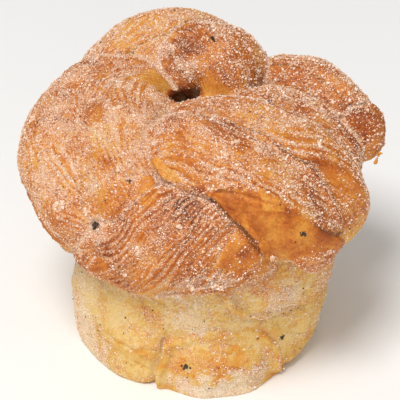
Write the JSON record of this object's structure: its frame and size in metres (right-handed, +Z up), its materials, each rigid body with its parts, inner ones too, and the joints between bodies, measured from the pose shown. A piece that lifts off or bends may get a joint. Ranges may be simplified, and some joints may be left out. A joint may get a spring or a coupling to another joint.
{
  "type": "cardamom bun",
  "caption": "Round baked bun with a browned crown of knotted dough rolls over a pale straight-sided base, dusted with coarse sugar and cardamom seeds.",
  "frame": {"origin": "middle of the flat underside that the bun stands on", "axes": "+Z up through the knot, -Y towards the front of the picture, +X to the right as seen from the front"},
  "size_m": [0.0909, 0.0815, 0.0754],
  "materials": {
    "dough": "baked enriched dough, matt to satin, golden brown with a crust of sugar"
  },
  "bodies": {
    "root": {"bun": "dough"}
  },
  "joints": []
}
